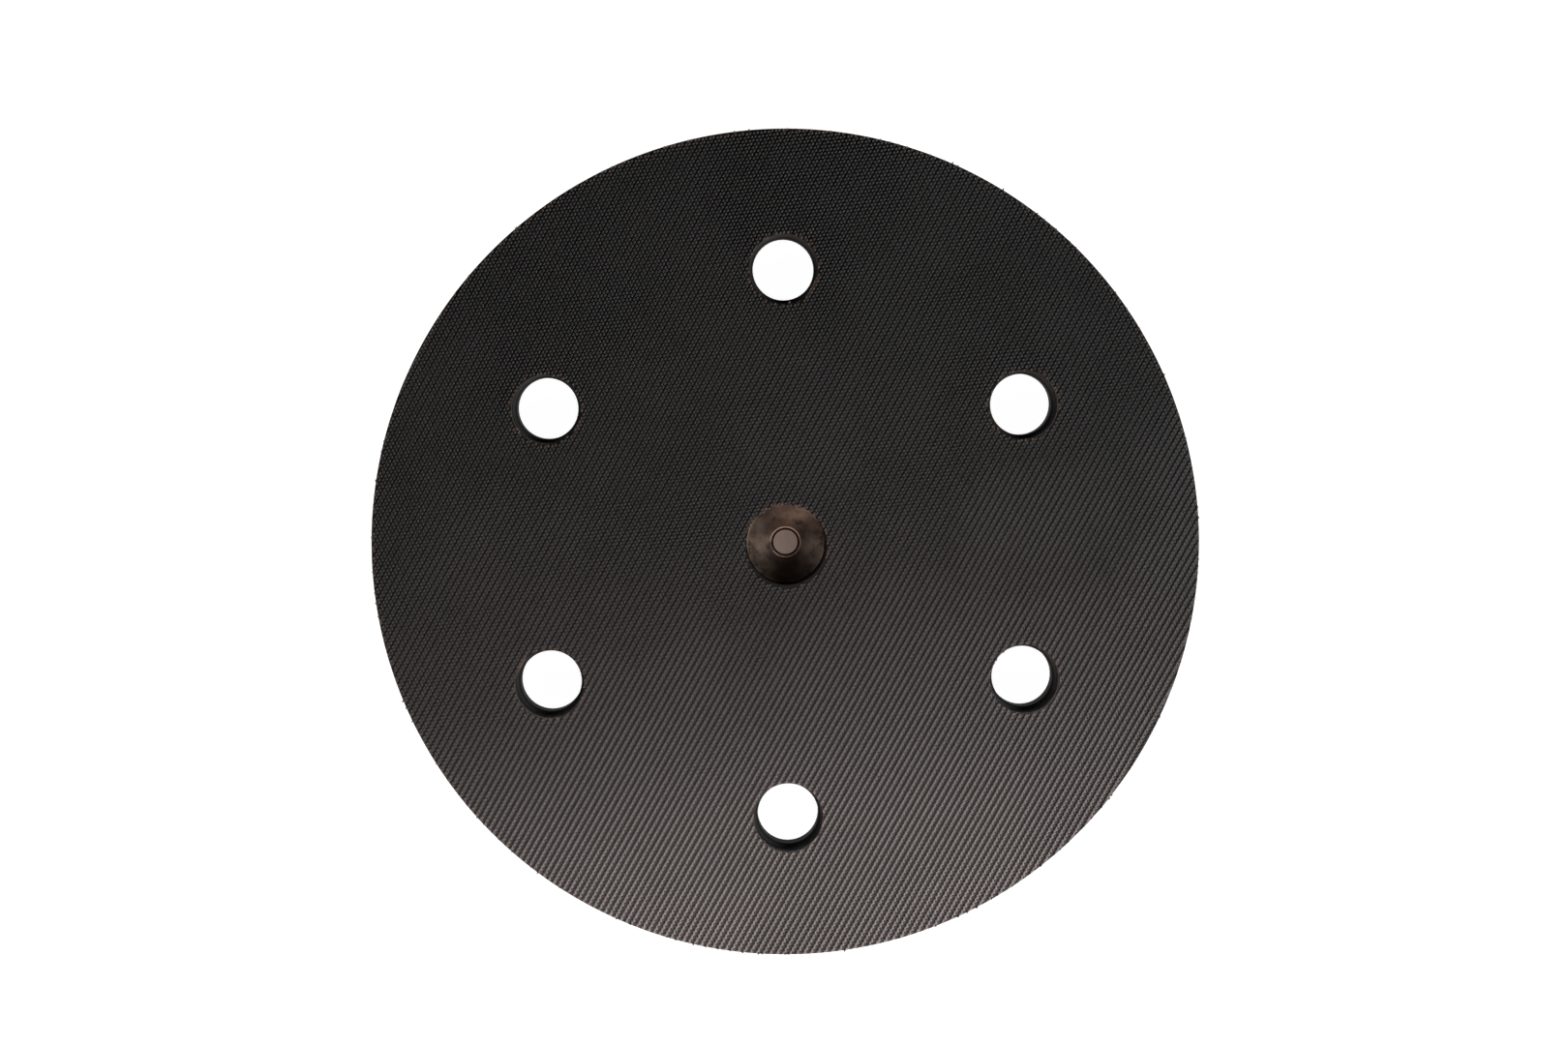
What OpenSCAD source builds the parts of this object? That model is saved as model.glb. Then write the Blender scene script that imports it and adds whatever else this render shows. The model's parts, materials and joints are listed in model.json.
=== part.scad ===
// Six-hole hook-and-loop backing pad of a random orbital sander.
// The origin is on the stud's axis, at the spacer washer's lower face, where the sander's spindle
// bears. +Z runs along that axis towards the hook face, and the threaded stud points down.

/* [Hook face] */
// Diameter of the hook sheet and of the foam where they meet
pad_d = 152; // [125:1:200]
// Thickness of the hook sheet, from its base film to the tips of its hooks
facing_t = 0.8; // [0.5:0.1:1.5]
// Thickness of each adhesive film
film_t = 0.15; // [0.1:0.05:0.3]
// How far the punched centre hole clears the hub's mouth all round
centre_clear = 0.35; // [0.1:0.05:1.5]

/* [Foam] */
// Thickness of the foam cushion
foam_t = 4.6; // [3:0.1:15]
// How far the foam's side leans in towards the plate
foam_lean = 1.6; // [0:0.1:3]

/* [Dust holes] */
// Number of dust holes
port_count = 6; // [4:1:8]
// Diameter of the circle through the dust holes' centres
port_pcd = 101; // [90:1:105]
// Diameter of the dust holes in the backing plate
port_d = 11.3; // [8:0.1:14]
// How much wider all round the holes are in the foam and the hook sheet
port_step = 0.7; // [0.3:0.1:1.5]
// Wall of the boss round each dust hole
port_wall = 2.4; // [1.5:0.1:3]

/* [Backing plate] */
// How far the plate's edge stays inside the foam's
plate_inset = 0.9; // [0.2:0.1:2]
// Whole thickness of the plate, with its ribs
plate_t = 4.7; // [4.4:0.1:7]
// Thickness of the plate's web, under the foam
web_t = 2; // [1.5:0.1:2.5]
// Width of the plate's raised rim
rim_w = 3; // [2:0.1:5]
// Chamfer on the rim's lower edge
rim_chamfer = 0.8; // [0.3:0.1:1.2]
// Thickness of the ribs
rib_t = 1.6; // [1:0.1:2.5]
// Number of radial ribs
rib_count = 12; // [6:6:24]
// Width of the solid ring round the hub's flange
hub_ring_w = 4; // [3:0.1:6]

/* [Hub] */
// Height of the plate's lower face above the hub's seat
seat_drop = 2.1; // [1.6:0.1:4]
// Diameter of the hub's seat, which the washer lies on
seat_d = 19; // [15:0.1:24]
// Diameter of the hub's conical mouth where it is widest
mouth_d = 14.3; // [11:0.1:18]
// Depth of the conical mouth, down to the lip round the stud's tail
mouth_depth = 3.3; // [2.5:0.1:3.5]
// Wall of the hub's barrel round the mouth
barrel_wall = 2.15; // [1.5:0.05:3]
// Diameter of the riveted flange
flange_d = 44; // [40:1:54]
// Thickness of the riveted flange
flange_t = 2; // [1.5:0.1:2.4]
// How far the flange stands proud of the plate's lower face
flange_proud = 0.5; // [0.2:0.1:1]
// Width of the lip round the stud's tail
lip_w = 0.3; // [0.1:0.05:0.6]

/* [Clamp ring and rivets] */
// Thickness of the steel ring let into the plate's upper face
ring_t = 1; // [0.8:0.1:1.2]
// Number of rivets
rivet_count = 6; // [4:1:8]
// Diameter of a rivet's shank
rivet_d = 4; // [3:0.1:4.5]
// Diameter of a rivet's domed head
head_d = 7.2; // [6.5:0.1:8]
// Height of a rivet's domed head
head_h = 1.4; // [1:0.1:1.5]
// How much wider all round a rivet's flush end is than its shank
flush_flare = 1; // [0.5:0.1:1.5]

/* [Threaded stud] */
// Major diameter of the thread, 5/16 inch
thread_d = 7.94; // [6.35:0.01:10]
// Length of the stud from the washer's lower face to its point
stud_l = 12.7; // [10:0.1:16]
// Depth of the relief between the thread and the hub's seat
relief_depth = 0.72; // [0.5:0.01:0.8]
// Length of that relief, from the hub's seat
relief_l = 1.5; // [1.2:0.1:2]
// Chamfer on the stud's point
point_chamfer = 1; // [0.5:0.1:1.5]
// How far the hexagonal collar, sunk in the seat, stands out past the thread all round
collar_step = 1.03; // [0.6:0.01:1.2]
// Thickness of that collar
collar_t = 1.5; // [1:0.1:1.6]
// Diameter of the tail, which the hub's bore holds
tail_d = 5.2; // [4:0.1:5.4]
// Chamfer on the tail's visible end
tail_chamfer = 0.35; // [0.2:0.05:0.6]

/* [Spacer washer] */
// Width of the fibre washer's ring
washer_w = 2.97; // [2.5:0.01:3.5]
// Thickness of the fibre washer
washer_t = 0.8; // [0.5:0.1:1]

/* [Fits] */
// Radial gap where the washer slides on the thread
slide_gap = 0.06; // [0.03:0.01:0.1]
// Radial gap where steel is pressed or riveted into steel
steel_gap = 0.02; // [0.01:0.01:0.05]
// Radial gap where steel sits in the moulded plate
plate_gap = 0.05; // [0.02:0.01:0.1]

/* [Hidden] */

// Smooth circles, and how far a cut runs past the face that it opens
$fn = 96;
cut = 1;

// Levels, from the washer's lower face upwards
seat = washer_t;
plate_low = seat + seat_drop;
plate_top = plate_low + plate_t;
web_low = plate_top - web_t;
foam_low = plate_top + film_t;
foam_top = foam_low + foam_t;
facing_low = foam_top + film_t;
flange_low = plate_low - flange_proud;
flange_top = flange_low + flange_t;
lip_level = plate_top - mouth_depth;
ring_low = plate_top - ring_t;

// Radii and angles that follow from the sizes above
centre_r = mouth_d / 2 + centre_clear;
barrel_r = mouth_d / 2 + barrel_wall;
collar_af = thread_d + 2 * collar_step;
washer_bore_r = thread_d / 2 + slide_gap;
rivet_pcd = (seat_d + flange_d) / 2;
foam_low_r = pad_d / 2 - foam_lean;
plate_r = foam_low_r - plate_inset;
flange_pocket_r = flange_d / 2 + plate_gap;
hub_ring_r = flange_pocket_r + hub_ring_w;
punched_r = port_d / 2 + port_step;
rib_inner_r = flange_pocket_r + hub_ring_w / 2;
rib_outer_r = plate_r - rim_w / 2;
first_port = 90;
first_rivet = 0;

// Copies of the child, evenly spaced on a circle
module around(count, circle_d, first) {
    for (i = [0 : count - 1])
        rotate([0, 0, first + i * 360 / count])
            translate([circle_d / 2, 0, 0])
                children();
}

// One cylinder cut at each dust hole
module port_cuts(low, high, r) {
    translate([0, 0, low - cut])
        around(port_count, port_pcd, first_port)
            cylinder(h = high - low + 2 * cut, r = r);
}

// A cut down the middle, through both faces
module centre_cut(low, high, r) {
    translate([0, 0, low - cut])
        cylinder(h = high - low + 2 * cut, r = r);
}

// A flat sheet of the laminate, punched for dust and for the hub
module punched_sheet(low, t, r) {
    difference() {
        translate([0, 0, low])
            cylinder(h = t, r = r);
        port_cuts(low, low + t, punched_r);
        centre_cut(low, low + t, centre_r);
    }
}

module hook_facing() {
    color([0.07, 0.065, 0.065])
        punched_sheet(facing_low, facing_t, pad_d / 2);
}

module facing_adhesive() {
    color([0.25, 0.2, 0.16])
        punched_sheet(foam_top, film_t, pad_d / 2);
}

module foam_cushion() {
    color([0.09, 0.085, 0.085])
        difference() {
            translate([0, 0, foam_low])
                cylinder(h = foam_t, r1 = foam_low_r, r2 = pad_d / 2);
            port_cuts(foam_low, foam_top, punched_r);
            centre_cut(foam_low, foam_top, centre_r);
        }
}

module cushion_adhesive() {
    color([0.25, 0.2, 0.16])
        punched_sheet(plate_top, film_t, plate_r);
}

// The plate's web and rim in section: a disc with a raised, chamfered rim below it
module plate_section() {
    polygon([
        [0, web_low],
        [plate_r - rim_w, web_low],
        [plate_r - rim_w, plate_low],
        [plate_r - rim_chamfer, plate_low],
        [plate_r, plate_low + rim_chamfer],
        [plate_r, plate_top],
        [0, plate_top]
    ]);
}

// Everything below the web: hub ring, ribs, the ring through the dust holes and their bosses
module plate_ribs() {
    depth = plate_t - web_t / 2;
    translate([0, 0, plate_low]) {
        cylinder(h = depth, r = hub_ring_r);
        for (i = [0 : rib_count - 1])
            rotate([0, 0, i * 360 / rib_count])
                translate([rib_inner_r, -rib_t / 2, 0])
                    cube([rib_outer_r - rib_inner_r, rib_t, depth]);
        difference() {
            cylinder(h = depth, r = (port_pcd + rib_t) / 2);
            translate([0, 0, -cut])
                cylinder(h = depth + 2 * cut, r = (port_pcd - rib_t) / 2);
        }
        around(port_count, port_pcd, first_port)
            cylinder(h = depth, r = port_d / 2 + port_wall);
    }
}

module backing_plate() {
    color([0.12, 0.12, 0.125])
        difference() {
            union() {
                rotate_extrude()
                    plate_section();
                plate_ribs();
            }
            port_cuts(plate_low, plate_top, port_d / 2);
            centre_cut(plate_low, plate_top, barrel_r + plate_gap);
            translate([0, 0, plate_low - cut])
                cylinder(h = flange_top - plate_low + cut, r = flange_pocket_r);
            translate([0, 0, ring_low])
                cylinder(h = ring_t + cut, r = flange_pocket_r);
            rivet_cuts(plate_gap);
        }
}

// One through hole for each rivet
module rivet_cuts(gap) {
    translate([0, 0, flange_low - cut])
        around(rivet_count, rivet_pcd, first_rivet)
            cylinder(h = plate_top - flange_low + 2 * cut, r = rivet_d / 2 + gap);
}

// The countersinks that the rivets' flush ends fill
module flush_cone(gap) {
    translate([0, 0, ring_low])
        cylinder(h = ring_t, r1 = rivet_d / 2 + gap, r2 = rivet_d / 2 + flush_flare + gap);
}

module clamp_ring() {
    color([0.6, 0.6, 0.6])
        difference() {
            translate([0, 0, ring_low])
                cylinder(h = ring_t, r = flange_d / 2);
            centre_cut(ring_low, plate_top, barrel_r + steel_gap);
            rivet_cuts(steel_gap);
            around(rivet_count, rivet_pcd, first_rivet)
                flush_cone(steel_gap);
        }
}

// The hexagonal prism of the stud's collar, or of its pocket with a gap
module collar(t, gap) {
    rotate([0, 0, 30])
        cylinder(h = t, r = (collar_af / 2 + gap) / cos(30), $fn = 6);
}

module hub_body() {
    color([0.3, 0.26, 0.23])
        difference() {
            union() {
                translate([0, 0, seat])
                    cylinder(h = flange_top - seat, r = seat_d / 2);
                translate([0, 0, flange_low])
                    cylinder(h = plate_top - flange_low, r = barrel_r);
                translate([0, 0, flange_low])
                    cylinder(h = flange_t, r = flange_d / 2);
            }
            translate([0, 0, lip_level])
                cylinder(h = mouth_depth, r1 = tail_d / 2 + lip_w, r2 = mouth_d / 2);
            centre_cut(seat, lip_level, tail_d / 2 + steel_gap);
            translate([0, 0, seat - cut])
                collar(collar_t + cut, steel_gap);
            rivet_cuts(steel_gap);
        }
}

// A rivet along +Z: domed head below the flange, shank, and a flush conical end in the ring
module rivet() {
    dome_r = (pow(head_d / 2, 2) + pow(head_h, 2)) / (2 * head_h);
    intersection() {
        translate([0, 0, flange_low - head_h + dome_r])
            sphere(r = dome_r);
        translate([0, 0, flange_low - head_h])
            cylinder(h = head_h, r = head_d / 2 + cut);
    }
    translate([0, 0, flange_low])
        cylinder(h = plate_top - flange_low, r = rivet_d / 2);
    flush_cone(0);
}

module hub_rivets() {
    color([0.62, 0.61, 0.6])
        around(rivet_count, rivet_pcd, first_rivet)
            rivet();
}

module threaded_stud() {
    thread_low = point_chamfer - stud_l;
    thread_top = seat - relief_l;
    tail_end = lip_level - tail_chamfer;
    color([0.45, 0.42, 0.4]) {
        translate([0, 0, -stud_l])
            cylinder(h = point_chamfer, r1 = thread_d / 2 - point_chamfer, r2 = thread_d / 2);
        translate([0, 0, thread_low])
            cylinder(h = thread_top - thread_low, r = thread_d / 2);
        translate([0, 0, thread_top])
            cylinder(h = relief_l, r = thread_d / 2 - relief_depth);
        translate([0, 0, seat])
            collar(collar_t, 0);
        translate([0, 0, seat])
            cylinder(h = tail_end - seat, r = tail_d / 2);
        translate([0, 0, tail_end])
            cylinder(h = tail_chamfer, r1 = tail_d / 2, r2 = tail_d / 2 - tail_chamfer);
    }
}

module spacer_washer() {
    color([0.45, 0.16, 0.1])
        difference() {
            cylinder(h = washer_t, r = washer_bore_r + washer_w);
            centre_cut(0, washer_t, washer_bore_r);
        }
}

hook_facing();
facing_adhesive();
foam_cushion();
cushion_adhesive();
backing_plate();
clamp_ring();
hub_body();
hub_rivets();
threaded_stud();
spacer_washer();
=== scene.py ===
import json
import math

import bmesh
import bpy
import numpy as np
from mathutils import Matrix, Vector


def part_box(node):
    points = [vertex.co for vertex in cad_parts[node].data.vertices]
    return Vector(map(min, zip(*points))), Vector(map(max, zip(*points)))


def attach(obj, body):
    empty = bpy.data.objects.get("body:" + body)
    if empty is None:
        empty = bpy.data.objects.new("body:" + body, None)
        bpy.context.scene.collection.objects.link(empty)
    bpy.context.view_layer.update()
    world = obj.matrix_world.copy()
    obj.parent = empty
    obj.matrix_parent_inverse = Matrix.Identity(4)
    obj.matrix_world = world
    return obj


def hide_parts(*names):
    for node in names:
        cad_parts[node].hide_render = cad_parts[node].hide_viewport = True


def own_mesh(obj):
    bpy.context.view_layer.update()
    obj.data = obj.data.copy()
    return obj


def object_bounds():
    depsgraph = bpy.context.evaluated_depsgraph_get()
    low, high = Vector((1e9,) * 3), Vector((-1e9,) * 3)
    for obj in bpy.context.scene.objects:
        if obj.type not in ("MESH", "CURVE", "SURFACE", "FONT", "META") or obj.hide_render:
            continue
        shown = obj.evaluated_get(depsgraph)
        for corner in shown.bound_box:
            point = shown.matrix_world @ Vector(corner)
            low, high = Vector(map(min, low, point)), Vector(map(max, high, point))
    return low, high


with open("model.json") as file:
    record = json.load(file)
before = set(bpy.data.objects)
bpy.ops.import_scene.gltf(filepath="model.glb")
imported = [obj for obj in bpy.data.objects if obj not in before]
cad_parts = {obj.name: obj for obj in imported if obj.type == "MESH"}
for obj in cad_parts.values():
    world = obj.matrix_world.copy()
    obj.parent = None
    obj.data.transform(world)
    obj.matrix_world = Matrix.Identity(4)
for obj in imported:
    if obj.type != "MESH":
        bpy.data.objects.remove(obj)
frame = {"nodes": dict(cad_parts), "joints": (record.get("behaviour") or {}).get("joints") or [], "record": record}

cadLow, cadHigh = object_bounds()
mm = 0.001
turn = 2 * math.pi
print("frame loaded:", len(frame["nodes"]), "nodes")


# what the frame says, in millimetres

def reach(node, x=0.0, y=0.0, level=None):
    # nearest and farthest corner of a node from the upright line through x, y, at one height or any
    mesh = frame["nodes"][node].data
    corners = np.empty(3 * len(mesh.vertices), np.float32)
    mesh.vertices.foreach_get("co", corners)
    corners = corners.reshape(-1, 3) / mm
    if level is not None:
        corners = corners[np.abs(corners[:, 2] - level) < 0.01]
    away = np.hypot(corners[:, 0] - x, corners[:, 1] - y)
    return float(away.min()), float(away.max())


def faces(node):
    # heights of a node's lower and upper face
    low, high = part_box(node)
    return low.z / mm, high.z / mm


def levels(node):
    # heights of all a node's level faces, from the lowest up, leaving out slivers under 0.001 mm2
    polygons = frame["nodes"][node].data.polygons
    middles, normals = np.empty((2, 3 * len(polygons)), np.float32)
    areas = np.empty(len(polygons), np.float32)
    polygons.foreach_get("center", middles)
    polygons.foreach_get("normal", normals)
    polygons.foreach_get("area", areas)
    level = (np.abs(normals[2::3]) > 0.999) & (areas > 0.001 * mm * mm)
    return np.unique(np.round(middles[2::3][level] / mm, 2)).tolist()


mounts = {row["name"]: row for row in frame["record"]["mounts"]}
dustRing = mounts["dust_holes"]["dims"]["pcd_mm"] / 2
dustCount = mounts["dust_holes"]["dims"]["count"]
dustFirst = turn / 4
dustAngles = dustFirst + turn * np.arange(dustCount) / dustCount
threadRadius = mounts["spindle_thread"]["dims"]["r_mm"]

facingLow, hookTop = faces("hook_facing")
foamLow, foamTop = faces("foam_cushion")
hubLow, hubTop = faces("hub_body")
rivetLow, rivetTop = faces("hub_rivets")
studLow, studTop = faces("threaded_stud")
washerLow, washerTop = faces("spacer_washer")

centreRadius, padRadius = reach("hook_facing")
punchedRadius = reach("hook_facing", 0, dustRing)[0]
plateHole = mounts["dust_holes"]["dims"]["hole_r_mm"]
boreRadius, flangeRadius = reach("hub_body")
mouthRadius, barrelRadius = reach("hub_body", level=hubTop)
seatRadius = reach("hub_body", level=hubLow)[1]
foamLowRadius = reach("foam_cushion", level=foamLow)[1]
washerBore, washerRadius = reach("spacer_washer")
rivetInner, rivetOuter = reach("hub_rivets")
rivetRing = (rivetInner + rivetOuter) / 2
headRadius = (rivetOuter - rivetInner) / 2
rivetCount = 6
ringLow = faces("clamp_ring")[0]

# the hub's collar pocket, flange and cone, and the stud's thread, collar and chamfered tail
pocketTop, flangeLow, lipLevel, flangeTop = levels("hub_body")[1:-1]
lipRadius = reach("hub_body", level=lipLevel)[1]
rivetHole = round(reach("hub_body", rivetRing, 0, flangeLow)[0], 2)
shankRadius = round(reach("hub_rivets", rivetRing, 0, ringLow)[0], 2)
flushRadius = round(reach("hub_rivets", rivetRing, 0, rivetTop)[0], 2)
threadTop, collarLow, collarTop = levels("threaded_stud")[1:-1]
pointRadius = reach("threaded_stud", level=studLow)[1]
reliefRadius, collarCorner = reach("threaded_stud", level=collarLow)
collarFlat = collarCorner * math.cos(turn / 12)
tailRadius = reach("threaded_stud", level=collarTop)[0]
tailTip = reach("threaded_stud", level=studTop)[1]


# skins worked out on grids

def gridQuads(rows, columns):
    # corner numbers of the four-sided faces between neighbouring points of a grid
    number = np.arange(rows * columns).reshape(rows, columns)
    corners = (number[:-1, :-1], number[:-1, 1:], number[1:, 1:], number[1:, :-1])
    return np.stack(corners, -1).reshape(-1, 4)


def newMesh(name, points, quads):
    # a mesh from points in millimetres and rows of four corner numbers
    mesh = bpy.data.meshes.new(name)
    mesh.vertices.add(len(points))
    mesh.vertices.foreach_set("co", (points * mm).astype(np.float32).ravel())
    mesh.loops.add(quads.size)
    mesh.loops.foreach_set("vertex_index", quads.astype(np.int32).ravel())
    mesh.polygons.add(len(quads))
    mesh.polygons.foreach_set("loop_start", np.arange(0, quads.size, 4, dtype=np.int32))
    mesh.update(calc_edges=True)
    return mesh


def weld(mesh, gap=2e-7):
    # doubled points merged and every closed shell turned outwards
    shell = bmesh.new()
    shell.from_mesh(mesh)
    bmesh.ops.remove_doubles(shell, verts=shell.verts, dist=gap)
    bmesh.ops.dissolve_degenerate(shell, edges=shell.edges, dist=gap)
    bmesh.ops.recalc_face_normals(shell, faces=shell.faces)
    shell.to_mesh(mesh)
    shell.free()


def closedSkin(name, grids, sharpAngle=35):
    # several grids whose borders meet, joined into one closed skin with smooth faces and crisp edges
    points = np.concatenate([grid.reshape(-1, 3) for grid in grids])
    starts = np.cumsum([0] + [grid.shape[0] * grid.shape[1] for grid in grids])
    quads = np.concatenate([gridQuads(*grid.shape[:2]) + start for grid, start in zip(grids, starts)])
    mesh = newMesh(name, points, quads)
    weld(mesh)
    mesh.shade_smooth()
    mesh.set_sharp_from_angle(angle=math.radians(sharpAngle))
    return mesh


def place(mesh, body, slot, material, *nodes):
    # a finished piece: it rides on its body, takes the finish it is given and stands for the named nodes; its slot
    # is not used
    piece = bpy.data.objects.new(mesh.name, mesh)
    bpy.context.scene.collection.objects.link(piece)
    mesh.materials.clear()
    mesh.materials.append(material)
    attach(piece, body)
    if nodes:
        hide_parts(*nodes)
    return piece


def rounded(outline, steps=4):
    # corners (r, z, radius) with each corner replaced by an arc of its radius, as steps + 1 points
    flat = np.array([corner[:2] for corner in outline], float)
    made = [flat[0]]
    for before, corner, after, (_, _, radius) in zip(flat, flat[1:], flat[2:], outline[1:-1]):
        if radius <= 0:
            made.append(corner)
            continue
        inward = (before - corner) / np.linalg.norm(before - corner)
        onward = (after - corner) / np.linalg.norm(after - corner)
        half = math.acos(np.clip(inward @ onward, -1, 1)) / 2
        back = radius / math.tan(half)
        middle = corner + (inward + onward) / np.linalg.norm(inward + onward) * radius / math.sin(half)
        first, last = corner + inward * back - middle, corner + onward * back - middle
        sweep = math.pi - 2 * half
        for share in np.linspace(0, 1, steps + 1):
            mixed = first * math.sin((1 - share) * sweep) + last * math.sin(share * sweep)
            made.append(middle + mixed / math.sin(sweep))
    made.append(flat[-1])
    return np.array(made)


def lathe(outline, angles, middle=(0, 0)):
    # every outline point (r, z) carried round the upright line through middle
    r, z = outline[:, 0, None], outline[:, 1, None] + 0 * angles
    return np.stack([middle[0] + r * np.cos(angles), middle[1] + r * np.sin(angles), z], -1)


def punchedGrids(outerWall, innerWall, holeWall, ringRadius, count, first, segments):
    # a disc between two turned walls with a ring of holes: each sector's faces run in straight
    # lines from the sector's border to the nearest point of its hole, and on down the hole's wall
    arcSteps, edgeSteps, innerSteps, faceSteps = segments
    half = math.pi / count
    grids = []
    for middle in first + turn * np.arange(count) / count:
        centre = ringRadius * np.array([math.cos(middle), math.sin(middle)])
        outerArc = np.linspace(middle - half, middle + half, arcSteps + 1)
        innerArc = np.linspace(middle + half, middle - half, innerSteps + 1)

        def border(outerR, innerR):
            # round the sector: outer arc, one radial edge, inner arc, the other radial edge
            down = np.linspace(outerR, innerR, edgeSteps + 1)[1:-1]
            r = np.concatenate([np.full(arcSteps + 1, outerR), down,
                                np.full(innerSteps + 1, innerR), down[::-1], [outerR]])
            angle = np.concatenate([outerArc, np.full(edgeSteps - 1, middle + half),
                                    innerArc, np.full(edgeSteps - 1, middle - half), [middle - half]])
            return np.stack([r * np.cos(angle), r * np.sin(angle)], -1)

        top = border(outerWall[0][0], innerWall[0][0])
        bottom = border(outerWall[-1][0], innerWall[-1][0])
        away = top - centre
        away /= np.linalg.norm(away, axis=1)[:, None]
        rows = []
        for share in np.linspace(0, 1, faceSteps + 1)[:-1]:
            edge = centre + away * holeWall[0][0]
            rows.append(np.c_[top * (1 - share) + edge * share, np.full(len(top), holeWall[0][1])])
        for radius, z in holeWall:
            rows.append(np.c_[centre + away * radius, np.full(len(top), z)])
        for share in np.linspace(1, 0, faceSteps + 1)[1:]:
            edge = centre + away * holeWall[-1][0]
            rows.append(np.c_[bottom * (1 - share) + edge * share, np.full(len(top), holeWall[-1][1])])
        grids += [np.array(rows), lathe(np.array(outerWall), outerArc), lathe(np.array(innerWall), innerArc)]
    return grids


# finishes

class Wire:
    # a socket that takes part in sums: wire + 1, 1 - wire, wire * wire, wire ** 0.5
    def __init__(self, finish, socket):
        self.finish = finish
        self.socket = socket

    def maths(self, operation, first, second=0.0):
        return self.finish.add("ShaderNodeMath", {"operation": operation}, {0: first, 1: second})

    def __add__(self, other): return self.maths("ADD", self, other)
    def __radd__(self, other): return self.maths("ADD", other, self)
    def __sub__(self, other): return self.maths("SUBTRACT", self, other)
    def __rsub__(self, other): return self.maths("SUBTRACT", other, self)
    def __mul__(self, other): return self.maths("MULTIPLY", self, other)
    def __rmul__(self, other): return self.maths("MULTIPLY", other, self)
    def __pow__(self, other): return self.maths("POWER", self, other)


class Finish:
    # one material: a Principled shader whose fixed values are set on its own sockets
    def __init__(self, name, **fixed):
        self.material = bpy.data.materials.new(name)
        self.material.use_nodes = True
        self.tree = self.material.node_tree
        self.tree.nodes.clear()
        self.shader = self.tree.nodes.new("ShaderNodeBsdfPrincipled")
        output = self.tree.nodes.new("ShaderNodeOutputMaterial")
        self.tree.links.new(self.shader.outputs[0], output.inputs["Surface"])
        for socket, value in fixed.items():
            self.join(self.shader.inputs[socket.replace("_", " ")], value)
        metres = self.add("ShaderNodeTexCoord", out="Object")
        self.at = self.add("ShaderNodeMapping", {}, {"Vector": metres, "Scale": (1 / mm,) * 3})

    def join(self, socket, value):
        if isinstance(value, Wire):
            self.tree.links.new(value.socket, socket)
        else:
            socket.default_value = value

    def add(self, kind, settings=None, values=None, out=0):
        # any node: its settings first, then the values or wires of its sockets
        node = self.tree.nodes.new(kind)
        for key, value in (settings or {}).items():
            setattr(node, key, value)
        for key, value in (values or {}).items():
            self.join(node.inputs[key], value)
        return Wire(self, node.outputs[out])

    def noise(self, size, detail=2.0, rough=0.5, at=None):
        # soft noise whose lumps are about size mm across, from 0 to 1
        values = {"Vector": at or self.at, "Scale": 1 / size, "Detail": detail, "Roughness": rough}
        return self.add("ShaderNodeTexNoise", {}, values)

    def cells(self, size):
        # distance to the nearest of points scattered about size mm apart
        return self.add("ShaderNodeTexVoronoi", {}, {"Vector": self.at, "Scale": 1 / size}, "Distance")

    def ease(self, value, low, high, fromShade=0.0, toShade=1.0):
        # fromShade up to low, toShade from high on, eased between
        values = {"Value": value, "From Min": low, "From Max": high, "To Min": fromShade, "To Max": toShade}
        return self.add("ShaderNodeMapRange", {"interpolation_type": "SMOOTHSTEP"}, values)

    def blend(self, amount, first, second):
        # first colour at 0, second at 1
        first, second = [(*c, 1) if isinstance(c, tuple) else c for c in (first, second)]
        return self.add("ShaderNodeMix", {"data_type": "RGBA"}, {0: amount, 6: first, 7: second}, 2)

    def axisDistance(self):
        # distance from the stud's axis
        flat = self.add("ShaderNodeVectorMath", {"operation": "MULTIPLY"}, {0: self.at, 1: (1, 1, 0)})
        return self.add("ShaderNodeVectorMath", {"operation": "LENGTH"}, {0: flat}, "Value")

    def split(self, axis):
        return self.add("ShaderNodeSeparateXYZ", {}, {"Vector": self.at}, axis)

    def holeDistance(self, radius):
        # distance to the middle of the nearest dust hole: the angle is folded into one sector
        across, up = self.split("X"), self.split("Y")
        sector = turn / dustCount
        angle = across.maths("ARCTAN2", up, across) - (dustFirst - sector / 2)
        folded = angle.maths("FLOORED_MODULO", angle, sector) - sector / 2
        sideways = radius * folded.maths("SINE", folded)
        outwards = radius * folded.maths("COSINE", folded) - dustRing
        return (sideways * sideways + outwards * outwards) ** 0.5

    def bump(self, height, strength, depth):
        # depth is the height's full swing in millimetres
        values = {"Height": height, "Strength": strength, "Distance": depth * mm}
        self.join(self.shader.inputs["Normal"], self.add("ShaderNodeBump", {}, values))

    def paint(self, **sockets):
        for socket, value in sockets.items():
            self.join(self.shader.inputs[socket.replace("_", " ")], value)
        return self.material


def hookNylon(name, gloss, dark, light, shine=0.5, stain=(0.028, 0.016, 0.01)):
    # black moulded nylon, a little dusty in wide clouds, and stained brown where it was cut: within
    # a millimetre or two of the outline, of the middle hole and of the nearest dust hole
    finish = Finish(name, IOR=1.5, Specular_IOR_Level=shine)
    clouds = finish.ease(finish.noise(22, 3), 0.35, 0.7)
    dust = clouds * 0.4 + finish.noise(0.7, 1) * 0.3
    colour = finish.blend(dust, dark, light)
    radius = finish.axisDistance()
    middle = finish.ease(radius, centreRadius, centreRadius + 0.8, 1.0, 0.0)
    outline = finish.ease(radius, padRadius - 1.2, padRadius)
    cutEdge = finish.ease(finish.holeDistance(radius), punchedRadius, punchedRadius + 1.1, 1.0, 0.0)
    stained = (middle + outline + cutEdge) * finish.ease(finish.noise(1.5, 3), 0.35, 0.7)
    colour = finish.blend(stained, colour, stain)
    return finish.paint(Base_Color=colour, Roughness=gloss + dust * 0.12)


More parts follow.
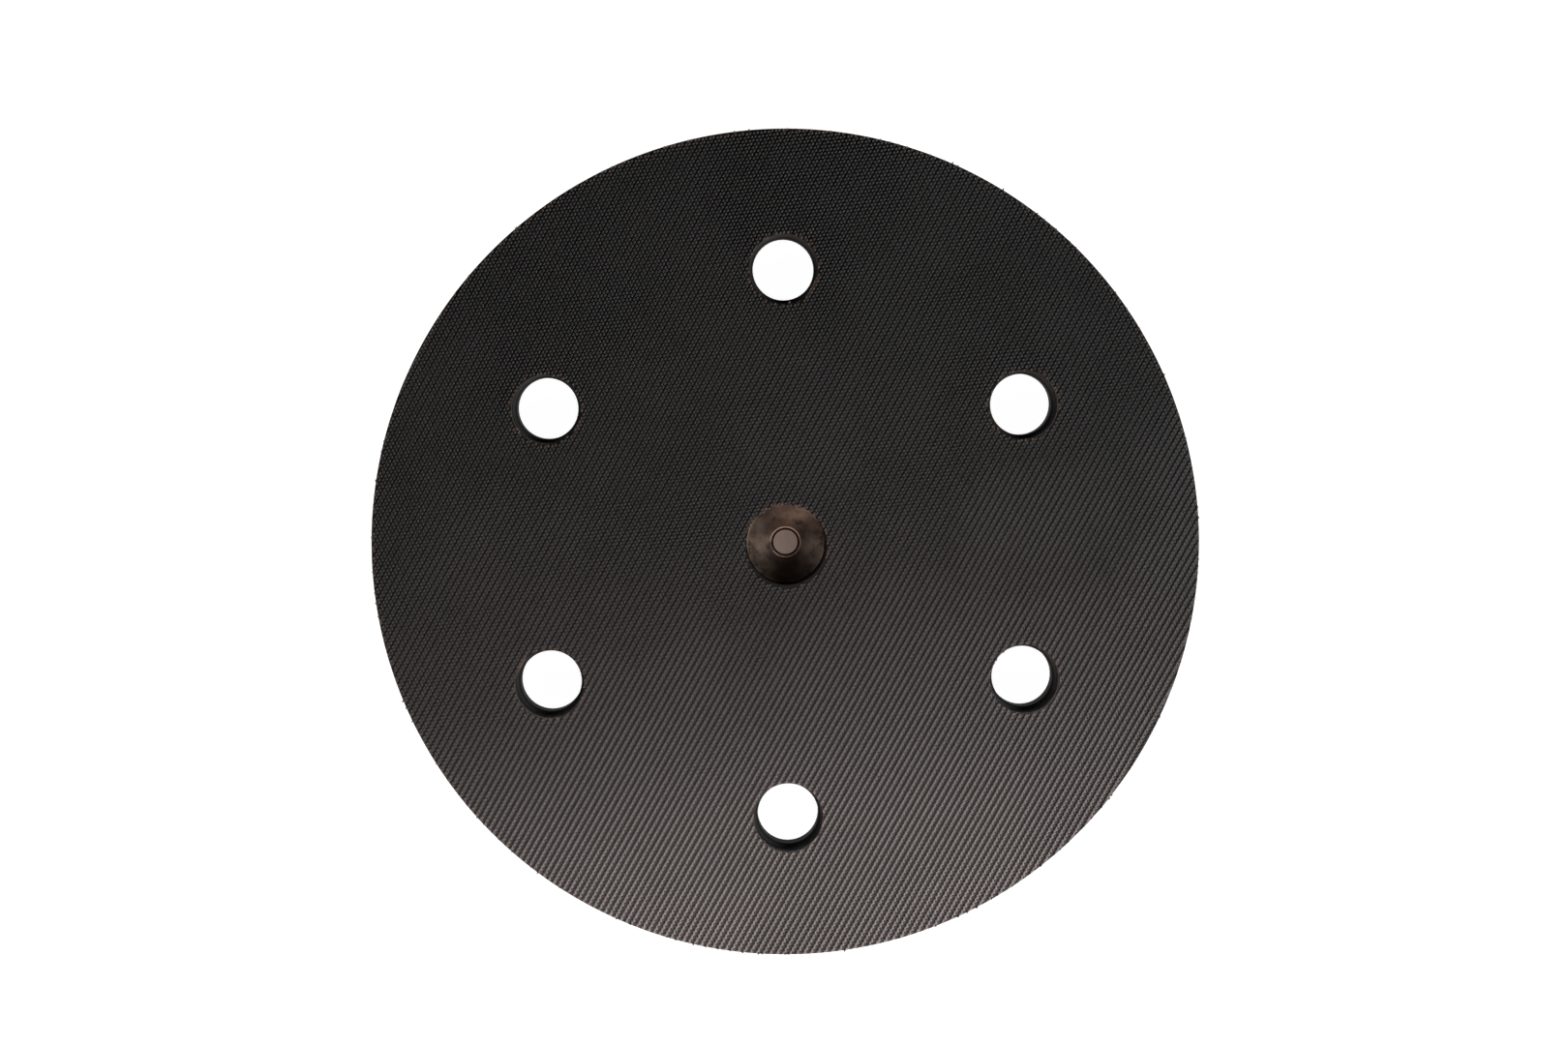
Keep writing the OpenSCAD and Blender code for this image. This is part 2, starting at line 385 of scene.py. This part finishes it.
def foamRubber():
    # black fine-celled polyurethane foam: open cells in two sizes on the cut walls
    finish = Finish("foamRubber", IOR=1.45, Specular_IOR_Level=0.08)
    cells = finish.ease(finish.cells(0.34), 0.1, 0.55)
    fine = finish.ease(finish.cells(0.15), 0.1, 0.6)
    height = cells * 0.7 + fine * 0.3
    # the colour is darker in the cell pits: half of the tone is painted shade that follows the pits, half random
    # tone
    tone = finish.noise(2.5, 3) * 0.5 + height * 0.5
    colour = finish.blend(tone, (0.003, 0.0026, 0.0024), (0.018, 0.0155, 0.014))
    finish.bump(height, 0.9, 0.12)
    return finish.paint(Base_Color=colour, Roughness=0.82 + fine * 0.1)


def adhesiveFilm():
    # dark brown transfer film, smeared where it was cut
    finish = Finish("adhesiveFilm", IOR=1.47)
    smear = finish.noise(1.2, 3)
    colour = finish.blend(smear, (0.012, 0.008, 0.006), (0.04, 0.029, 0.02))
    finish.bump(smear, 0.4, 0.05)
    return finish.paint(Base_Color=colour, Roughness=0.35 + smear * 0.3)


def plateNylon():
    # glass-filled black nylon: faint flow clouds, short fibre streaks and a fine spark-eroded grain,
    # and painted shade in the dust holes: darker and duller near their walls
    finish = Finish("plateNylon", IOR=1.53, Specular_IOR_Level=0.2)
    grain = finish.noise(0.22, 2)
    flow = finish.noise(9, 3)
    stretched = finish.add("ShaderNodeMapping", {}, {"Vector": finish.at, "Scale": (1, 7, 7)})
    streaks = finish.ease(finish.noise(2.2, 2, at=stretched), 0.56, 0.72)
    colour = finish.blend(flow * 0.6 + streaks * 0.35, (0.006, 0.006, 0.0062), (0.028, 0.028, 0.029))
    finish.bump(grain * 0.7 + streaks * 0.3, 0.35, 0.03)
    radius = finish.axisDistance()
    # painted shade: the dust holes' walls and nearby edges are darkened
    holeShade = finish.ease(finish.holeDistance(radius), plateHole + 0.05, plateHole + 0.7, 1.0, 0.0)
    colour = finish.blend(holeShade, colour, (0.003, 0.0024, 0.002))
    return finish.paint(Base_Color=colour, Roughness=0.38 + grain * 0.22 - streaks * 0.08 + holeShade * 0.45)


def steel(name, dark, light, rough, rings=0.0, stain=None, stainAt=(0.5, 0.7), paintedShadeFrom=None):
    # turned steel: rings about the axis, stains in clouds, a fine grain, and where asked a painted shade:
    # the upper face made near black outside a radius, standing in for the shade round the mouth
    finish = Finish(name, Metallic=1.0)
    radius = finish.axisDistance()
    height = finish.split("Z")
    track = finish.add("ShaderNodeCombineXYZ", {}, {"X": radius * 6 + height * 6})
    ringLines = finish.noise(1, 2, at=track)
    wear = finish.noise(2.4, 4, 0.6)
    fine = finish.noise(0.12, 2)
    tone = ringLines * rings + wear * (1 - rings)
    colour = finish.blend(finish.ease(tone, 0.3, 0.7), dark, light)
    roughness = rough + fine * 0.12 + wear * 0.1
    if stain:
        spots = finish.ease(finish.noise(3.1, 4, 0.65), *stainAt)
        colour = finish.blend(spots, colour, stain)
        roughness = roughness + spots * 0.2
    if paintedShadeFrom:
        # painted shade: the upper face outside the mouth is blended to near black
        outside = finish.ease(radius, paintedShadeFrom, paintedShadeFrom + 0.15)
        outside = outside * finish.ease(height, hubTop - 0.6, hubTop - 0.1)
        colour = finish.blend(outside, colour, (0.008, 0.006, 0.005))
        roughness = roughness + outside * 0.3
    finish.bump(ringLines * rings + fine * 0.4, 0.25, 0.02)
    return finish.paint(Base_Color=colour, Roughness=roughness)


def redFibre():
    # vulcanised fibre: dull red with paler fibres lying flat
    finish = Finish("redFibre", IOR=1.5)
    stretched = finish.add("ShaderNodeMapping", {}, {"Vector": finish.at, "Scale": (1, 5, 3)})
    fibres = finish.noise(0.8, 3, at=stretched)
    colour = finish.blend(fibres, (0.1, 0.02, 0.012), (0.26, 0.07, 0.042))
    finish.bump(fibres, 0.4, 0.03)
    return finish.paint(Base_Color=colour, Roughness=0.5 + fibres * 0.25)


hookFinish = hookNylon("hookNylon", 0.34, (0.0008, 0.0008, 0.0008), (0.003, 0.0028, 0.0028))
ridgeFinish = hookNylon("ridgeNylon", 0.2, (0.0006, 0.0005, 0.0005), (0.002, 0.0018, 0.0018))
# the base film between the hooks: a darker, less shiny copy of the nylon, painted shade for the shade the hooks
# cast on it
shadedFilmFinish = hookNylon("shadedFilmNylon", 0.26, (0.0003, 0.0003, 0.0003), (0.001, 0.001, 0.001), 0.14,
                       (0.002, 0.0015, 0.001))
foamFinish = foamRubber()
filmFinish = adhesiveFilm()
plateFinish = plateNylon()
zincFinish = steel("zincSteel", (0.4, 0.41, 0.42), (0.62, 0.62, 0.62), 0.28, 0.3)
rivetFinish = steel("rivetSteel", (0.36, 0.36, 0.36), (0.6, 0.6, 0.59), 0.25, 0.2, (0.2, 0.17, 0.14),
                    (0.6, 0.8))
# the hub's upper face outside the mouth is painted near black: painted shade in the recess
hubFinish = steel("hubSteel", (0.058, 0.04, 0.03), (0.124, 0.087, 0.067), 0.3, 0.3, (0.02, 0.015, 0.013),
                  (0.48, 0.66), mouthRadius)
studFinish = steel("studSteel", (0.076, 0.06, 0.052), (0.109, 0.087, 0.078), 0.38, 0.4)
fibreFinish = redFibre()
print("finishes made")


# hook facing

hookSheet = {
    "film": 0.25,  # thickness of the base film the hooks stand on, mm
    "rowGap": 0.544,  # from row to row
    "pitch": 0.788,  # from hook to hook along a row
    "rowAngle": 60.2,  # which way the rows run, degrees from +X
    "pair": 0.05,  # how far each second row is moved towards the one before
    "width": 0.27,  # across the row
    "ridge": (0.56, 0.54, 0.3),  # foot width, top width and height of the ridge between a pair of rows
    "ridgeSunk": 0.05, "ridgeFall": 0.0045,  # how far its foot is sunk, and how far its edges fall, mm
    "edge": 0.12,  # how far hooks stay inside the cut edges, on average
    "ragged": 0.1,  # and how much that varies
    "offCentre": 0.35,  # how far the hook-free ring round the middle hole is shifted towards -Y
    "flatten": 0.6,  # how far the crowns' shading normals are turned from upright, of the full curve
    "shortest": 0.05, "lean": 0.03, "aside": 0.02,  # spread of the hooks' height, lean and sideways lean
    # side view of a hook that opens towards +u, its back and its front from root to tip: millimetres
    # along the row, and share of the standing height
    "back": [(-0.24, -0.06), (-0.2, 0.5), (-0.08, 1.0), (0.14, 0.96), (0.24, 0.66)],
    "front": [(0.1, -0.06), (-0.02, 0.5), (0.03, 0.76), (0.1, 0.72), (0.17, 0.58)],
    "sections": 8,  # pieces that the field of hooks is cut into, like a cake
    "filmSegments": (64, 16, 10, 3),  # steps on a sector's outer arc, radial edges, inner arc and faces
    "seed": 7,
}


def hookSpots():
    # the staggered lattice of hook feet, cut to the sheet's outline and holes
    angle = math.radians(hookSheet["rowAngle"])
    rows = int(padRadius / hookSheet["rowGap"]) + 2
    along = int(padRadius / hookSheet["pitch"]) + 2
    row, step = np.mgrid[-rows:rows + 1, -along:along + 1]
    row, step = row.ravel(), step.ravel()
    side = row % 2
    u = (step + 0.5 * side) * hookSheet["pitch"]
    v = row * hookSheet["rowGap"] - side * hookSheet["pair"]
    x = u * math.cos(angle) - v * math.sin(angle)
    y = u * math.sin(angle) + v * math.cos(angle)
    luck = np.random.default_rng(hookSheet["seed"])
    margin = hookSheet["edge"] + hookSheet["ragged"] * luck.standard_normal(len(x))
    keep = np.hypot(x, y) < padRadius - margin
    keep &= np.hypot(x, y + hookSheet["offCentre"]) > centreRadius + margin
    for hole in dustAngles:
        away = np.hypot(x - dustRing * math.cos(hole), y - dustRing * math.sin(hole))
        keep &= away > punchedRadius + margin
    return x[keep], y[keep], np.where(side[keep] == 0, 1.0, -1.0), luck


def hookField(name, x, y, facing, luck):
    # every hook is its side view swept across the row's width: five sections of four corners from
    # root to tip, as one array of hooks x sections x back and front x left and right
    angle = math.radians(hookSheet["rowAngle"])
    count = len(x)
    tall = (hookTop - filmTop) * (1 - hookSheet["shortest"] * np.abs(luck.standard_normal(count)).clip(0, 2))
    lean = hookSheet["lean"] * luck.standard_normal(count)
    aside = hookSheet["aside"] * luck.standard_normal(count)
    sections = np.stack([np.array(hookSheet["back"]), np.array(hookSheet["front"])], 1)
    u = sections[None, :, :, 0] * facing[:, None, None] + lean[:, None, None] * sections[None, :, :, 1]
    z = filmTop + sections[None, :, :, 1] * tall[:, None, None]
    half = hookSheet["width"] / 2
    v = np.array([-half, half])
    steps = len(sections)
    u = np.broadcast_to(u[..., None], (count, steps, 2, 2))
    z = np.broadcast_to(z[..., None], (count, steps, 2, 2))
    v = np.broadcast_to(v, (count, steps, 2, 2)) + aside[:, None, None, None] * sections[None, :, :, 1, None]
    points = np.stack([
        x[:, None, None, None] + u * math.cos(angle) - v * math.sin(angle),
        y[:, None, None, None] + u * math.sin(angle) + v * math.cos(angle),
        z,
    ], -1).reshape(-1, 3)

    # corners of a section, in order round it: back left, back right, front right, front left
    ring = np.array([0, 1, 3, 2])
    quads = []
    for step in range(steps - 1):
        for corner in range(4):
            a, b = ring[corner] + 4 * step, ring[(corner + 1) % 4] + 4 * step
            quads.append([a, b, b + 4, a + 4])
    quads.append([0, 2, 3, 1])
    last = 4 * (steps - 1)
    quads.append([last, last + 1, last + 3, last + 2])
    quads = np.array(quads)
    # a mirrored hook has its faces turned the other way round
    every = np.where(facing[:, None, None] > 0, quads[None], quads[None, :, ::-1])
    every = every + 4 * steps * np.arange(count)[:, None, None]
    mesh = newMesh(name, points, every.reshape(-1, 4))
    mesh.shade_smooth()
    # the crown's four upper corners are shaded as the shoulder of a low dome
    normals = np.empty(3 * len(mesh.vertices), np.float32)
    mesh.vertex_normals.foreach_get("vector", normals)
    normals = normals.reshape(count, steps, 2, 2, 3)
    normals[:, 2:4, 0, :, :2] *= hookSheet["flatten"]
    normals = normals.reshape(-1, 3)
    normals /= np.linalg.norm(normals, axis=1)[:, None]
    mesh.normals_split_custom_set_from_vertices(normals)
    flatMap(mesh)
    return mesh


def flatMap(mesh):
    # a bake map seen from above, as wide as the piece
    corners = np.empty(3 * len(mesh.vertices), np.float32)
    mesh.vertices.foreach_get("co", corners)
    index = np.empty(len(mesh.loops), np.int32)
    mesh.loops.foreach_get("vertex_index", index)
    spots = corners.reshape(-1, 3)[index, :2]
    low, high = spots.min(0), spots.max(0)
    layer = mesh.uv_layers.new(name="OFBake")
    layer.uv.foreach_set("vector", ((spots - low) / (high - low)).ravel())


filmTop = facingLow + hookSheet["film"]
filmOuter = [(padRadius, filmTop), (padRadius, facingLow)]
filmInner = [(centreRadius, filmTop), (centreRadius, facingLow)]
filmHole = [(punchedRadius, filmTop), (punchedRadius, facingLow)]
baseFilm = closedSkin("hookBaseFilm", punchedGrids(filmOuter, filmInner, filmHole, dustRing, dustCount,
                                                   dustFirst, hookSheet["filmSegments"]))
# the base film takes the darker copy of the nylon: painted shade between the hooks
place(baseFilm, "facing", "hook_nylon", shadedFilmFinish, "hook_facing")


def ridgeBars():
    # between the two rows of every pair a flat-topped ridge: each corner line of its section runs on
    # across the sheet and stops where that line meets the outline or a hole
    foot, top, height = hookSheet["ridge"]
    sunk, shoulder = -hookSheet["ridgeSunk"], height - hookSheet["ridgeFall"]
    section = np.array([(-foot / 2, sunk), (foot / 2, sunk), (foot / 2, 0.0), (top / 2, shoulder),
                        (top / 4, height), (-top / 4, height), (-top / 2, shoulder), (-foot / 2, 0.0)])
    angle = math.radians(hookSheet["rowAngle"])
    along = np.array([math.cos(angle), math.sin(angle)])
    across = np.array([-math.sin(angle), math.cos(angle)])
    holes = [(0.0, -hookSheet["offCentre"], centreRadius)]
    holes += [(dustRing * math.cos(a), dustRing * math.sin(a), punchedRadius) for a in dustAngles]
    points, quads = [], []
    rows = int(padRadius / hookSheet["rowGap"] / 2) + 1
    for row in range(-rows, rows + 1):
        middle = (2 * row + 0.5) * hookSheet["rowGap"] - hookSheet["pair"] / 2
        if abs(middle) > padRadius - foot:
            continue
        lines = middle + section[:, 0]
        reachOut = np.sqrt(padRadius ** 2 - lines ** 2) - hookSheet["edge"]
        ends = [-reachOut]
        crossed = []
        for x, y, radius in holes:
            u, v = np.array([x, y]) @ along, np.array([x, y]) @ across
            if abs(v - middle) < radius:
                half = np.sqrt(np.clip((radius + hookSheet["edge"]) ** 2 - (lines - v) ** 2, 0, None))
                crossed.append((u, half))
        for u, half in sorted(crossed, key=lambda pair: pair[0]):
            ends += [u - half, u + half]
        ends.append(reachOut)
        for start, stop in zip(ends[::2], ends[1::2]):
            base = len(points) * len(section)
            for u in (start, stop):
                points.append(np.stack([u * along[0] + lines * across[0], u * along[1] + lines * across[1],
                                        filmTop + section[:, 1]], -1))
            corner = np.arange(len(section))
            after = (corner + 1) % len(section)
            quads.append(base + np.stack([corner, after, after + len(section), corner + len(section)], -1))
            cap = np.array([[0, 7, 2, 1], [7, 6, 3, 2], [6, 5, 4, 3]])
            quads.append(base + cap)
            quads.append(base + cap[:, ::-1] + len(section))
    mesh = newMesh("hookRidges", np.concatenate(points), np.concatenate(quads))
    weld(mesh)
    mesh.shade_flat()
    return mesh


place(ridgeBars(), "facing", "hook_nylon", ridgeFinish)

spotX, spotY, spotFacing, luck = hookSpots()
around = (np.arctan2(spotY, spotX) - dustFirst + math.pi / dustCount) % turn
section = (around / turn * hookSheet["sections"]).astype(int)
for number in range(hookSheet["sections"]):
    mine = section == number
    field = hookField(f"hookField{number + 1}", spotX[mine], spotY[mine], spotFacing[mine], luck)
    place(field, "facing", "hook_nylon", hookFinish)
print("hook sheet made with", len(spotX), "hooks")


# foam

foam = {
    "wallRows": 12,
    "segments": (200, 24, 24, 2),  # steps on a sector's outer arc, radial edges, inner arc and faces
    "cell": 0.55,  # spacing of the larger cells, mm
    "depth": 0.14,
    "sharpAngle": 60,  # degrees, above which an edge stays crisp
    "seed": 3,
}


def cellDepth(points, size, seed):
    # 1 at the middle of a scattered cell, 0 half a cell away: the nearest of the points that are
    # scattered one to a cube, looked for in the 27 cubes around
    luck = np.random.default_rng(seed)
    table = luck.random((64, 64, 64, 3))
    scaled = points / size
    home = np.floor(scaled).astype(int)
    nearest = np.full(len(points), np.inf)
    for shift in np.ndindex(3, 3, 3):
        cube = home + np.array(shift) - 1
        jitter = table[tuple((cube % 64).T)]
        nearest = np.minimum(nearest, np.linalg.norm(cube + jitter - scaled, axis=1))
    return np.clip(1 - nearest / 0.5, 0, 1)


def openCells(mesh, amount):
    # walls pushed in along their normals at each cell
    count = len(mesh.vertices)
    points = np.empty(3 * count, np.float32)
    normals = np.empty(3 * count, np.float32)
    mesh.vertices.foreach_get("co", points)
    mesh.vertex_normals.foreach_get("vector", normals)
    points, normals = points.reshape(-1, 3) / mm, normals.reshape(-1, 3)
    sideways = normals * [1, 1, 0]
    points -= sideways * (amount * cellDepth(points, foam["cell"], foam["seed"]))[:, None]
    mesh.vertices.foreach_set("co", (points * mm).astype(np.float32).ravel())
    mesh.update()


foamZ = np.linspace(foamTop, foamLow, foam["wallRows"] + 1)
foamOuter = np.c_[np.linspace(padRadius, foamLowRadius, len(foamZ)), foamZ]
foamInner = np.c_[np.full(len(foamZ), centreRadius), foamZ]
foamHole = np.c_[np.full(len(foamZ), punchedRadius), foamZ]
foamMesh = closedSkin("foamCushion", punchedGrids(foamOuter, foamInner, foamHole, dustRing, dustCount,
                                                  dustFirst, foam["segments"]), foam["sharpAngle"])
openCells(foamMesh, foam["depth"])
foamPiece = place(foamMesh, "pad", "foam", foamFinish, "foam_cushion")
squeeze = next(joint for joint in frame["joints"] if joint["name"] == "cushion_squeeze")
travel = max(squeeze["range_m"]) / mm
1 - travel / (foamTop - foamLow)
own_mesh(foamPiece)
print("foam made")


# backing plate

plate = {
    "edgeRadius": 0.22, "steps": 2,
    "flatAngle": 0.3, "sharpAngle": 30, "roundAngle": 40,  # degrees: joined below, crisp above, rounded above
}


def joinFlats(mesh):
    # neighbouring triangles in one plane become one face, so that the rounding follows true edges
    shell = bmesh.new()
    shell.from_mesh(mesh)
    bmesh.ops.dissolve_limit(shell, angle_limit=math.radians(plate["flatAngle"]), verts=shell.verts,
                             edges=shell.edges)
    shell.to_mesh(mesh)
    shell.free()


moulding = frame["nodes"]["backing_plate"].data.copy()
moulding.name = "backingPlate"
weld(moulding)
joinFlats(moulding)
moulding.shade_smooth()
moulding.set_sharp_from_angle(angle=math.radians(plate["sharpAngle"]))
platePiece = place(moulding, "pad", "plate_nylon", plateFinish, "backing_plate")
edges = platePiece.modifiers.new("edges", "BEVEL")
edges.width = plate["edgeRadius"] * mm
edges.segments = plate["steps"]
edges.limit_method = "ANGLE"
edges.angle_limit = math.radians(plate["roundAngle"])
edges.use_clamp_overlap = False
edges.harden_normals = True
print("backing plate made")


# hub

hub = {
    "collarGap": 0.02,  # how far the round pocket clears the collar's flats; its corners are sunk in
    "fineEdge": 0.06, "mouthEdge": 0.12, "edge": 0.15, "flangeEdge": 0.2,  # radii of the edges
    "borderWidth": 0.6,  # of the flange's rim, outside the straight lines to the rivet holes
    "segments": (32, 10, 32, 5),  # steps on a sector's outer arc, radial edges, inner arc and faces
}

pocketRadius = collarFlat + hub["collarGap"]
hubInner = rounded([
    (barrelRadius, flangeTop, 0), (barrelRadius, hubTop, hub["edge"]),
    (mouthRadius, hubTop, hub["mouthEdge"]), (lipRadius, lipLevel, hub["fineEdge"]),
    (boreRadius, lipLevel, hub["fineEdge"]), (boreRadius, pocketTop, 0),
    (pocketRadius, pocketTop, 0), (pocketRadius, hubLow, hub["mouthEdge"]),
    (seatRadius, hubLow, hub["flangeEdge"]), (seatRadius, flangeLow, 0),
])
borderRadius = flangeRadius - hub["borderWidth"]
hubOuter = rounded([
    (borderRadius, flangeTop, 0), (flangeRadius, flangeTop, hub["flangeEdge"]),
    (flangeRadius, flangeLow, hub["flangeEdge"]), (borderRadius, flangeLow, 0),
])
hubHole = [(rivetHole, flangeTop), (rivetHole, flangeLow)]
hubMesh = closedSkin("hubBody", punchedGrids(hubOuter, hubInner, hubHole, rivetRing, rivetCount, 0.0,
                                             hub["segments"]))
place(hubMesh, "pad", "hub_steel", hubFinish, "hub_body")
print("hub made")


# rivets

rivet = {
    "flat": 1.1,  # radius of the flat on the head
    "steps": 48, "domePoints": 10,
}

headHeight = flangeLow - rivetLow
domeRadius = (headRadius ** 2 + headHeight ** 2) / (2 * headHeight)
domeAngles = np.linspace(math.asin(rivet["flat"] / domeRadius), math.asin(headRadius / domeRadius),
                         rivet["domePoints"])
dome = np.c_[domeRadius * np.sin(domeAngles), rivetLow + domeRadius * (1 - np.cos(domeAngles))]
flatLevel = dome[0, 1]
rivetOutline = np.concatenate([
    [[0, flatLevel]], dome, [[shankRadius, flangeLow], [shankRadius, ringLow],
                             [flushRadius, rivetTop], [0, rivetTop]],
])
circle = np.linspace(0, turn, rivet["steps"] + 1)
rivetGrids = [lathe(rivetOutline, circle, rivetRing * np.array([math.cos(a), math.sin(a)]))
              for a in turn * np.arange(rivetCount) / rivetCount]
place(closedSkin("hubRivets", rivetGrids), "pad", "rivet_steel", rivetFinish, "hub_rivets")
print("rivets made")


# threaded stud

stud = {
    "pitch": 25.4 / 24,  # 24 threads to the inch
    "flank": 0.62,  # thread depth as a share of the pitch
    "crest": 0.1, "steepness": 1.15,  # how wide the flat crest is, and how steep the flanks are
    "runOut": 1.2,  # how fast the thread grows out of the relief
    "columns": 96, "rowsPerTurn": 16,
}


def threadGrid():
    # rows follow a right-handed helix: height rises a pitch with each turn round +Z, and the radius is
    # a V with a flat crest and root, kept inside the chamfered point and the run-out
    angle = np.linspace(0, turn, stud["columns"] + 1)[None, :]
    length = threadTop - studLow
    turns = np.arange(0, length / stud["pitch"] + 2, 1 / stud["rowsPerTurn"])[:, None]
    z = threadTop - stud["pitch"] * (turns - angle / turn)
    phase = np.abs((turns % 1) - 0.5) * 2 + 0 * angle
    depth = stud["flank"] * stud["pitch"]
    radius = threadRadius - depth * np.clip(stud["steepness"] * phase - stud["crest"], 0, 1)
    z = np.clip(z, studLow, threadTop)
    runOut = reliefRadius + (threadTop - z) * stud["runOut"]
    point = pointRadius + (z - studLow)
    radius = np.minimum(np.minimum(radius, runOut), point)
    return np.stack([radius * np.cos(angle), radius * np.sin(angle), z], -1)


def hexShare(angle):
    # distance from the middle of a hexagon to its side, as a share of half its width across flats
    return 1 / np.cos((angle + turn / 12) % (turn / 6) - turn / 12)


angle = np.linspace(0, turn, stud["columns"] + 1)
# radius, height and whether the row is round or a hexagon
bodyRows = [(reliefRadius, threadTop, 0), (reliefRadius, collarLow, 0),
            (collarFlat, collarLow, 1), (collarFlat, collarTop, 1),
            (tailRadius, collarTop, 0), (tailRadius, studTop - (tailRadius - tailTip), 0),
            (tailTip, studTop, 0), (0, studTop, 0)]
bodyGrid = np.array([
    np.c_[r * hexShare(angle) ** six * np.cos(angle),
          r * hexShare(angle) ** six * np.sin(angle),
          0 * angle + z]
    for r, z, six in bodyRows
])
pointGrid = lathe(np.array([(pointRadius, studLow), (0, studLow)]), angle)
studMesh = closedSkin("threadedStud", [bodyGrid, threadGrid(), pointGrid])
place(studMesh, "pad", "stud_steel", studFinish, "threaded_stud")
print("stud made")


# washer, clamp ring and adhesive films

washer = {"edge": 0.12, "steps": 96}

washerMid = (washerBore + washerRadius) / 2
washerOutline = rounded([
    (washerMid, washerTop, 0), (washerRadius, washerTop, washer["edge"]),
    (washerRadius, washerLow, washer["edge"]), (washerBore, washerLow, washer["edge"]),
    (washerBore, washerTop, washer["edge"]), (washerMid, washerTop, 0),
])
washerMesh = closedSkin("spacerWasher", [lathe(washerOutline, np.linspace(0, turn, washer["steps"] + 1))])
place(washerMesh, "washer", "fibre", fibreFinish, "spacer_washer")

kept = {"clamp_ring": zincFinish, "facing_adhesive": filmFinish, "cushion_adhesive": filmFinish}
for node, finish in kept.items():
    mesh = frame["nodes"][node].data
    mesh.materials.clear()
    mesh.materials.append(finish)
print("washer, ring and films finished")


# floor, light and camera

studio = {
    "floorReach": 2.5, "wallHigh": 0.9, "sweep": 0.4, "glowReach": 0.6,  # metres
    "floorGlow": 0.98, "wallGlow": 0.3, "floorShade": 0.2,  # shares of white
    "sweepSteps": 16, "columns": 96,
    "world": (0.01, 0.01, 0.01),
    # name, place and aim in metres, size in metres, watts and colour of each lamp
    "lamps": [
        ("warmBox", (0.03, -0.2, 0.5), (0, -0.02, 0.01), (0.36, 0.17), 2.0, (1.0, 0.84, 0.8)),
        ("warmLow", (-0.1, -0.45, 0.4), (0, 0, 0), (0.4, 0.2), 2.4, (1.0, 0.9, 0.87)),
        ("coolRight", (0.41, -0.05, 0.5), (0, 0, 0), (0.24, 0.24), 5.0, (0.9, 0.96, 1.0)),
        ("coolLeft", (-0.46, 0.05, 0.48), (0, 0, 0), (0.24, 0.24), 1.4, (0.9, 0.96, 1.0)),
    ],
    "view": (-7.8, 33.5, 539.0),  # the lens, in mm from the middle of the hook face
    "aim": (-0.35, 4.1, 0.0),
    "roll": 0.5,  # degrees
    "lens": 67.6,
}


def areaLight(name, spot, aim, size, power, colour):
    lamp = bpy.data.lights.new(name, "AREA")
    lamp.shape = "RECTANGLE"
    lamp.size, lamp.size_y = size
    lamp.energy = power
    lamp.color = colour
    holder = bpy.data.objects.new(name, lamp)
    bpy.context.scene.collection.objects.link(holder)
    holder.location = Vector(spot)
    holder.rotation_euler = (Vector(aim) - Vector(spot)).to_track_quat("-Z", "Y").to_euler()


level, reachOut, rise = cadLow.z / mm, studio["floorReach"] / mm, studio["wallHigh"] / mm
sweepLine = rounded([(0, level, 0), (reachOut, level, studio["sweep"] / mm), (reachOut, level + rise, 0)],
                    studio["sweepSteps"])
sweepGrid = lathe(sweepLine, np.linspace(0, turn, studio["columns"] + 1))
floorMesh = newMesh("studioFloor", sweepGrid.reshape(-1, 3), gridQuads(*sweepGrid.shape[:2]))
floor = bpy.data.objects.new("studioFloor", floorMesh)
bpy.context.scene.collection.objects.link(floor)
floorFinish = Finish("studioWhite", Emission_Strength=1.0, Roughness=0.9)
away = floorFinish.add("ShaderNodeVectorMath", {"operation": "LENGTH"}, {0: floorFinish.at}, "Value")
glow = floorFinish.ease(away, studio["glowReach"] * 0.5 / mm, studio["glowReach"] / mm,
                        studio["floorGlow"], studio["wallGlow"])
shade = studio["floorShade"]
glow = floorFinish.add("ShaderNodeCombineColor", {}, {0: glow, 1: glow, 2: glow})
floorMesh.materials.append(floorFinish.paint(Base_Color=(shade, shade, shade, 1), Emission_Color=glow))

world = bpy.data.worlds.new("studioWorld")
world.use_nodes = True
world.node_tree.nodes["Background"].inputs["Color"].default_value = (*studio["world"], 1)
world.node_tree.nodes["Background"].inputs["Strength"].default_value = 1.0
bpy.context.scene.world = world

for lampRow in studio["lamps"]:
    areaLight(*lampRow)

camera = bpy.data.cameras.new("camera")
camera.sensor_width = 36.0
camera.lens = studio["lens"]
camera.clip_start, camera.clip_end = 0.01, 50.0
cameraHolder = bpy.data.objects.new("camera", camera)
bpy.context.scene.collection.objects.link(cameraHolder)
lensSpot = (Vector(studio["view"]) + Vector((0, 0, hookTop))) * mm
aimSpot = (Vector(studio["aim"]) + Vector((0, 0, hookTop))) * mm
forward = (aimSpot - lensSpot).normalized()
right = forward.cross(Vector((0, 1, 0))).normalized()
upward = right.cross(forward)
roll = math.radians(studio["roll"])
rolledRight = right * math.cos(roll) - upward * math.sin(roll)
rolledUp = upward * math.cos(roll) + right * math.sin(roll)
cameraHolder.matrix_world = Matrix((
    (rolledRight.x, rolledUp.x, -forward.x, lensSpot.x),
    (rolledRight.y, rolledUp.y, -forward.y, lensSpot.y),
    (rolledRight.z, rolledUp.z, -forward.z, lensSpot.z),
    (0, 0, 0, 1)))
bpy.context.scene.camera = cameraHolder
bpy.context.scene.view_settings.view_transform = "Standard"
print("studio set")
